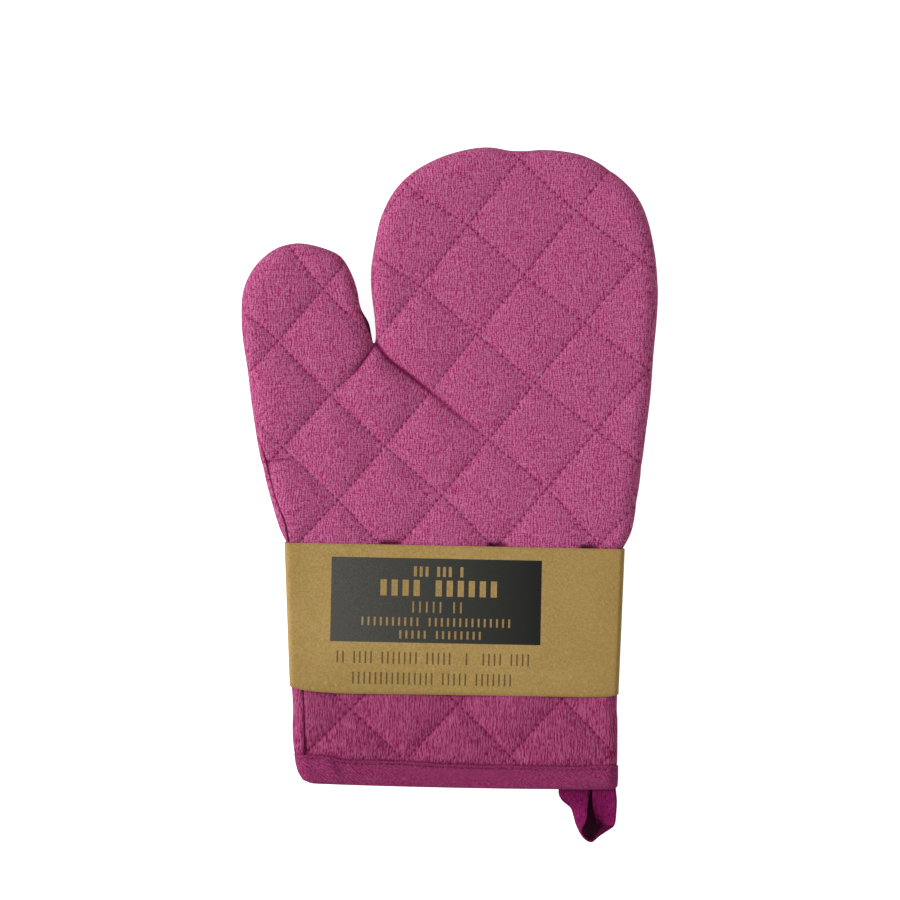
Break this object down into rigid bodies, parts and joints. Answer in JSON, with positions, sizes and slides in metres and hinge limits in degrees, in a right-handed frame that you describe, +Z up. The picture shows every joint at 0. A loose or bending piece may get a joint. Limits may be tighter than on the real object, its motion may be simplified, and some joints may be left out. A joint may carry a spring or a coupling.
{
  "type": "pair of oven mitts",
  "caption": "Quilted cotton oven mitts stacked flat, with bound cuffs, ribbon hanging loops and a removable paper band around the cuffs.",
  "frame": {"origin": "middle of the object's box, on the surface that the pair lies on", "axes": "+Y from the cuffs to the fingertips, +Z up through the stacked mitts, the thumbs towards -X"},
  "size_m": [0.1816, 0.3008, 0.0307],
  "materials": {
    "quilted_cloth": "plain woven cotton, matt, slubbed",
    "wadding": "loose cotton wadding",
    "lining": "plain woven cotton, matt",
    "binding": "bias-cut woven cotton, matt",
    "ribbon": "woven ribbon, slight sheen",
    "band_paper": "brown kraft paper with a dark printed panel"
  },
  "bodies": {
    "lower_mitt": {"lower_mitt_outer_front": "quilted_cloth", "lower_mitt_wadding_front": "wadding", "lower_mitt_lining_front": "lining", "lower_mitt_outer_back": "quilted_cloth", "lower_mitt_wadding_back": "wadding", "lower_mitt_lining_back": "lining", "lower_mitt_cuff_binding": "binding"},
    "upper_mitt": {"upper_mitt_outer_front": "quilted_cloth", "upper_mitt_wadding_front": "wadding", "upper_mitt_lining_front": "lining", "upper_mitt_outer_back": "quilted_cloth", "upper_mitt_wadding_back": "wadding", "upper_mitt_lining_back": "lining", "upper_mitt_cuff_binding": "binding"},
    "lower_loop": {"lower_mitt_hanging_loop": "ribbon"},
    "upper_loop": {"upper_mitt_hanging_loop": "ribbon"},
    "band": {"paper_band": "band_paper"}
  },
  "joints": [
    {"name": "band_slides_off", "type": "slide", "parent": "lower_mitt", "child": "band", "axis": [0, -1, 0], "range_m": [0, 0.135]},
    {"name": "upper_mitt_pulls_out", "type": "slide", "parent": "lower_mitt", "child": "upper_mitt", "axis": [0, 1, 0], "range_m": [0, 0.135]},
    {"name": "upper_loop_lifts", "type": "hinge", "parent": "upper_mitt", "child": "upper_loop", "pos_m": [0.05842, -0.12932, 0.0231], "axis": [-1, 0, 0], "range_deg": [0, 75], "stiffness_Nm_per_rad": 0.0005},
    {"name": "lower_loop_lifts", "type": "hinge", "parent": "lower_mitt", "child": "lower_loop", "pos_m": [0.05922, -0.13002, 0.0076], "axis": [-1, 0, 0], "range_deg": [0, 6], "stiffness_Nm_per_rad": 0.0005}
  ]
}
